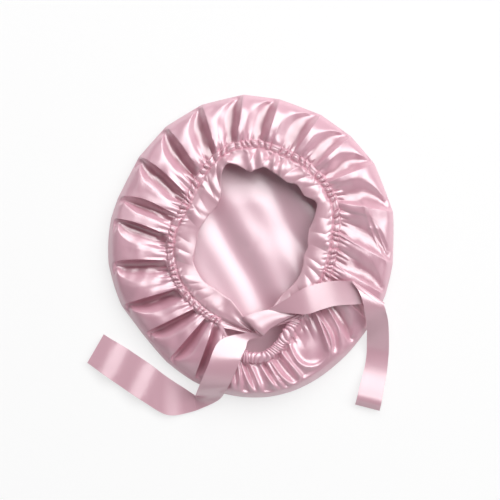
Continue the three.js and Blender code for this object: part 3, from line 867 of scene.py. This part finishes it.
leftRun = laid(stripPoints(leftTie["inner"], leftTie["outer"]), leftTie["settle"])
leftTail = stripPoints(leftTie["inner"][-1:] + leftTie["tailInner"],
                       leftTie["outer"][-1:] + leftTie["tailOuter"], ties["leftTailAlong"])
way = stepLengths(leftTail, 0)
back = way[-1] - way
wave = 0.45 + 0.55 * np.tanh(1.5 * np.cos(2 * math.pi * (back - leftTie["waveStart"]) / leftTie["wave"]))
wave = wave * (1 - ease(leftTie["waveEnd"] - 8, leftTie["waveEnd"] + 8, back))
lift = leftTie["waveHeight"] * (1 + wave * np.linspace(-1, 1, ties["across"])) * ease(12, 40, way)
leftTail[..., 2] += lift + ties["clear"]
rightRun = laid(stripPoints(rightTie["upper"], rightTie["lower"]), rightTie["settle"])
rightTail = stripPoints(rightTie["upper"][-1:] + rightTie["tailLeft"],
                        rightTie["lower"][-1:] + rightTie["tailRight"])
rightTail = laid(rightTail, 0)
way = stepLengths(rightTail, 0)
rightTail[..., 2] += rightTie["endLift"] * through(rightTie["end"], way[-1] - way) + ties["clear"]


# a tie piece, in place of the node of the frame that body names
def tiePiece(name, points, body):
    piece = clothPiece(name, points[:, ::-1], ties["cloth"], bandSatin)
    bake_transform(piece)
    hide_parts(body)


tiePiece("leftTieRun", leftRun, "left_tie")
tiePiece("leftTieTail", leftTail, "left_tail")
tiePiece("rightTieRun", rightRun, "right_tie")
tiePiece("rightTieTail", rightTail, "right_tail")
print("ties made")


knot = {
    # the turn of tie over the knot, from its rolled edge by the slit to where it goes under the right tie
    "upper": [(-13, -79.6, 9), (-12.4, -78.9, 19), (-10.8, -77.2, 30.5), (1.7, -72.9, 31.5),
              (19.5, -69.1, 30.5), (38.7, -71, 29), (46, -74, 28)],
    "lower": [(7.5, -96.6, 14), (8.6, -97.2, 24), (10.8, -98.1, 32), (15.6, -93.1, 33), (24.5, -86.4, 31.5),
              (40, -78.7, 29.5), (46, -76, 28)],
    "along": 90,
    "across": 34,
    "arch": 4.5,
    "ripple": 0.7,
    # where the band runs into the knot: upper and lower corner
    "leftEnd": [(1, -93, 23.5), (5, -97.5, 23)],
    "rightEnd": [(12, -80, 27.4), (18, -90, 26)],
    "endSteps": 60,
    "endFold": 1.3,
    "endUneven": 0.7,
    # flat sizes in metres
    "cut": {"knot_wrap": (0.036, 0.045), "left_band_end": (0.036, 0.034), "right_band_end": (0.036, 0.034)},
    "cloth": 0.9,
}
wrap = stripPoints(knot["upper"], knot["lower"], knot["along"], knot["across"])
along = np.linspace(0, 1, knot["along"])[:, None]
across = np.linspace(0, 1, knot["across"])[None, :]
ripple = knot["ripple"] * np.sin(3 * math.pi * across + 0.6) * ease(0, 0.2, along)
wrap[..., 2] += (knot["arch"] * np.sin(math.pi * across) + ripple) * (1 - 0.75 * along)


# the band's end, drawn together from its own section into the knot
def drawnEnd(column, before, corners, seed):
    along = np.linspace(0, 1, knot["endSteps"])[:, None]
    share = np.linspace(1, 0, len(column))
    end = np.array(corners[0]) * (1 - share[:, None]) + np.array(corners[1]) * share[:, None]
    leave, arrive = (column - before) * 40, (end - column) * 0.9
    s = along[..., None]
    strip = ((2 * s ** 3 - 3 * s ** 2 + 1) * column + (s ** 3 - 2 * s ** 2 + s) * leave
             + (3 * s ** 2 - 2 * s ** 3) * end + (s ** 3 - s ** 2) * arrive)
    folds = np.sin(5 * math.pi * (share + 0.04 * np.sin(6 * along))) * ease(0.15, 0.8, along)
    strip[..., 2] += knot["endFold"] * folds * (1 - 0.5 * along)
    strip[..., 2] += knot["endUneven"] * uneven(strip, 18, seed) * ease(0, 0.3, along)
    return strip


leftEnd = drawnEnd(bandPoints[-1], bandPoints[-2], knot["leftEnd"], 51)
rightEnd = drawnEnd(bandPoints[0], bandPoints[1], knot["rightEnd"], 52)
for name, points, node in (("knotWrap", wrap[:, ::-1], "knot_wrap"),
                           ("leftBandEnd", leftEnd, "left_band_end"),
                           ("rightBandEnd", rightEnd[::-1], "right_band_end")):
    piece = clothPiece(name, points, knot["cloth"], bandSatin)
    dress(piece, "bonnet", node)
print("knot made")


nape = {
    "from": 256.5,
    "to": 301,
    "inset": 4.2,  # tube's middle, inside the stitch line
    "width": 10.5,
    "height": 6.4,
    "level": 24.3,
    "ribs": 27,
    "rib": 0.48,
    "endShare": 0.72,  # thickness of the tube's ends, and the columns to its full thickness
    "endColumns": 6,
    "seed": 61,
    "columns": 380,
    "sides": 28,
    "cloth": 0.5,
    "cut": (0.027, 0.15),  # flat size in metres
}


# the ruched tube, its middle line, and the way outwards along it
def napeTube():
    angle = np.linspace(nape["from"], nape["to"], nape["columns"])
    rng = np.random.default_rng(nape["seed"])
    size = rng.uniform(0.6, 1.15, nape["ribs"] + 2)
    lean = rng.uniform(-0.5, 0.5, nape["ribs"] + 2)
    wander = rng.uniform(0, 2 * math.pi, 3)
    side = np.linspace(0, 2 * math.pi, nape["sides"], endpoint=False)[None, :]
    middle = turned(angle, stitchLine(angle) - nape["inset"])
    along = np.gradient(middle, axis=0)
    along /= np.linalg.norm(along, axis=1, keepdims=True)
    outwards = np.stack([along[:, 1], -along[:, 0]], -1)
    way = stepLengths(middle, 0)
    place = (way / way[-1] * nape["ribs"])[:, None] + 0.5 * np.sin(side + 0.35 * angle[:, None])
    for k, turn in enumerate(wander):
        place = place + 0.35 * np.sin((0.07 + 0.05 * k) * way + turn)[:, None]
    number = np.clip(np.floor(place).astype(int), 0, nape["ribs"] + 1)
    bulge = bead(place - np.floor(place), 0.4) * size[number]
    swell = 1 + nape["rib"] * (bulge - 0.6) * (1 + 0.4 * np.sin(side + lean[number] * 3))
    columns = np.arange(nape["columns"])
    ends = np.clip(np.minimum(columns, columns[::-1]) / nape["endColumns"], 0, 1)[:, None]
    swell *= nape["endShare"] + (1 - nape["endShare"]) * ends
    plan = middle[:, None] + outwards[:, None] * (np.cos(side) * nape["width"] / 2 * swell)[..., None]
    return atHeight(plan, nape["level"] + np.sin(side) * nape["height"] / 2 * swell), middle, outwards


tube, tubeMiddle, tubeOut = napeTube()
napePiece = clothPiece("napeCasing", tube.transpose(1, 0, 2), nape["cloth"], shellSatin, ring=True)
dress(napePiece, "bonnet", "nape_casing")
print("nape tube made")


# elastics: one in the nape tube, one under the stitch line of the band
elastic = {
    "napeWidth": 6,
    "napeThickness": 1.1,
    "frontWidth": 4.6,
    "frontThickness": 0.8,
    "frontLevel": 22.6,
    "frontInset": 1.2,
    "frontColumns": 240,
    "rib": 0.12,
}


def elasticStrip(name, middle, outwards, width, thickness, level, node):
    share = np.linspace(-0.5, 0.5, 9)
    plan = middle[:, None] + outwards[:, None] * (share * width)[None, :, None]
    points = atHeight(plan, level + elastic["rib"] * np.cos(share * 8 * math.pi))
    dress(clothPiece(name, points[:, ::-1], thickness, wovenElastic), "bonnet", node)


elasticStrip("napeElastic", tubeMiddle[::4], tubeOut[::4], elastic["napeWidth"], elastic["napeThickness"],
             nape["level"] + elastic["napeThickness"] / 2, "nape_elastic")
angle = np.linspace(band["from"] + 1, band["to"] - 1, elastic["frontColumns"])
elasticStrip("browElastic", turned(angle, bandLine(angle) - elastic["frontInset"]), turned(angle, 1),
             elastic["frontWidth"], elastic["frontThickness"], elastic["frontLevel"], "front_elastic")
print("elastics made")


# sewing: a stitch in each gather, a row along the nape tube, the bartacks at its ends and the hems
sewing = {
    "thread": 0.35,
    "gatherLift": 0.1,
    "napeStep": 1.5,  # degrees from one stitch of the nape to the next, and along one of them
    "napeStitch": 0.9,
    "napeGap": (1.6, 2.6),  # mm outside the stitch line and level, at the start and the end of a stitch
    "napeLevel": (25.6, 25.4),
    "napeRise": 0.5,
    "bartackThread": 0.4,
    "bartack": 9,
    "bartackWidth": 2.4,
    "bartackTurns": 16,
    "bartackColumn": 14,  # from either end of the tube
    "hem": 6,  # from the end of a tie
    "hemThread": 0.3,
    "hemStep": 2.6,
    "hemStitch": 1.7,
    "hemMargin": 1.2,
    "hemLift": 0.05,
    "hemRise": 0.35,
}


def stitchArc(start, end, rise):
    share = np.linspace(0, 1, 7)[:, None]
    path = start * (1 - share) + end * share
    path[:, 2] += rise * np.sin(math.pi * share[:, 0])
    return path


def sewn(name, paths, body, node, radius=sewing["thread"]):
    dress(threadPiece(name, paths, radius, sewingThread), body, node)


fine = np.linspace(band["from"] + 1, band["to"] - 1, 40000)
dips = fine[1:][np.diff(gatherAt(fine)[1]) < -0.5]  # between two gathers
paths = []
for at in dips:
    column = round((at - band["from"]) / (band["to"] - band["from"]) * (band["columns"] - 1))
    paths.append(bandPoints[column, 2:17:2] + (0, 0, sewing["gatherLift"]))  # over the puffs
sewn("gatherStitches", paths, "bonnet", "gather_thread")

paths = []
for at in np.arange(nape["from"] + 2, nape["to"] - 2, sewing["napeStep"]):
    ends = [atHeight(turned(angle, stitchLine(angle) + gap), level) for angle, gap, level in zip(
        (at, at + sewing["napeStitch"]), sewing["napeGap"], sewing["napeLevel"])]
    paths.append(stitchArc(*ends, sewing["napeRise"]))
sewn("napeStitches", paths, "bonnet", "nape_thread")


# a zigzag across the tube, over its top
def bartack(name, column, node):
    out, middle = tubeOut[column], tubeMiddle[column]
    along = np.array([-out[1], out[0]])
    path = []
    for i in range(sewing["bartackTurns"] + 1):
        reach = (i / sewing["bartackTurns"] - 0.5) * sewing["bartack"]
        plan = middle + out * reach + along * (0.5 if i % 2 else -0.5) * sewing["bartackWidth"]
        rise = math.sqrt(max(0.05, 1 - 0.8 * (reach / (nape["width"] / 2)) ** 2))
        path.append((*plan, nape["level"] + nape["height"] / 2 * rise + 0.5))
    sewn(name, [path], "bonnet", node, sewing["bartackThread"])


bartack("leftBartack", sewing["bartackColumn"], "left_bartack")
bartack("rightBartack", -1 - sewing["bartackColumn"], "right_bartack")


def hemStitches(name, strip, body, node):
    way = stepLengths(strip, 0)
    columns = np.argmin(np.abs(way - (way[-1] - sewing["hem"])), axis=0)
    row = strip[columns, np.arange(len(columns))] + (0, 0, sewing["hemLift"])
    spots = stepLengths(row, 0)
    paths = []
    for start in np.arange(sewing["hemMargin"], spots[-1] - sewing["hemStep"], sewing["hemStep"]):
        ends = [np.array([np.interp(x, spots, row[:, j]) for j in range(3)])
                for x in (start, start + sewing["hemStitch"])]
        paths.append(stitchArc(*ends, sewing["hemRise"]))
    sewn(name, paths, body, node, sewing["hemThread"])


hemStitches("leftHemStitches", leftTail, "left_tail", "left_hem_thread")
hemStitches("rightHemStitches", rightTail, "right_tail", "right_hem_thread")
print("sewing made")


# two wide softboxes from the upper right, weak ones from the upper left and the front,
# and a dim studio that is a little paler at the horizon than overhead
light = {
    # name, watts, place, size
    "softboxes": [("key", 178, (2.12, 2.53, 2.76), (8, 1.8)), ("top", 112, (1.04, 1.49, 3.9), (6.4, 1.7)),
                  ("side", 17, (-2.5, 2.4, 2.6), (5, 1.6)), ("front", 30, (-0.8, -3.6, 2.2), (6, 3))],
    "overhead": (0.05, 0.05, 0.05, 1),
    "horizon": (0.18, 0.18, 0.18, 1),
}

for name, power, place, size in light["softboxes"]:
    lamp = bpy.data.objects.new(name, bpy.data.lights.new(name, "AREA"))
    lamp.data.shape = "RECTANGLE"
    lamp.data.size, lamp.data.size_y = size
    lamp.data.energy = power
    lamp.location = place
    lamp.rotation_euler = (-Vector(place)).to_track_quat("-Z", "Y").to_euler()
    scene.collection.objects.link(lamp)

scene.world = bpy.data.worlds.new("studio")
studio = Finish("studio", scene.world)
upwards = studio.node("ShaderNodeSeparateXYZ", None, {0: studio.node("ShaderNodeTexCoord")}, 2)
walls = studio.between((1 - upwards) * (1 - upwards), light["overhead"], light["horizon"])
studio.surface(studio.node("ShaderNodeBackground", None, {"Color": walls}), "ShaderNodeOutputWorld")

# a white table that keeps the shadow: part lit, part plain white to the camera, gloss and glass
table = {"half": 6, "level": -0.0004, "colour": (0.95, 0.95, 0.95, 1), "plainShare": 0.7}
ends = (-table["half"], table["half"])
tableMesh = bpy.data.meshes.new("table")
tableMesh.from_pydata([(x, y, table["level"]) for y in ends for x in ends], [], [(0, 1, 3, 2)])
tablePiece = bpy.data.objects.new("table", tableMesh)
scene.collection.objects.link(tablePiece)
tableTop = Finish("table_white")
rays = ("Is Camera Ray", "Is Glossy Ray", "Is Transmission Ray")
seen = sum(tableTop.node("ShaderNodeLightPath", None, None, ray) for ray in rays) * table["plainShare"]
lit = tableTop.node("ShaderNodeBsdfDiffuse", None, {"Color": table["colour"]})
plain = tableTop.node("ShaderNodeEmission", None, {"Color": (1, 1, 1, 1), "Strength": 1.0})
tableTop.surface(tableTop.node("ShaderNodeMixShader", None, {0: seen, 1: lit, 2: plain}))
tableMesh.materials.append(tableTop.owner)

view = {"height": 2.0, "width": 0.5575, "middle": (-0.0033, -0.0033), "level": 0.01, "sensor": 36}
camera = bpy.data.objects.new("camera", bpy.data.cameras.new("camera"))
camera.location = (*view["middle"], view["height"])
camera.data.sensor_width = view["sensor"]
camera.data.lens = view["sensor"] * (view["height"] - view["level"]) / view["width"]
scene.collection.objects.link(camera)
scene.camera = camera
print("light, table and camera set")
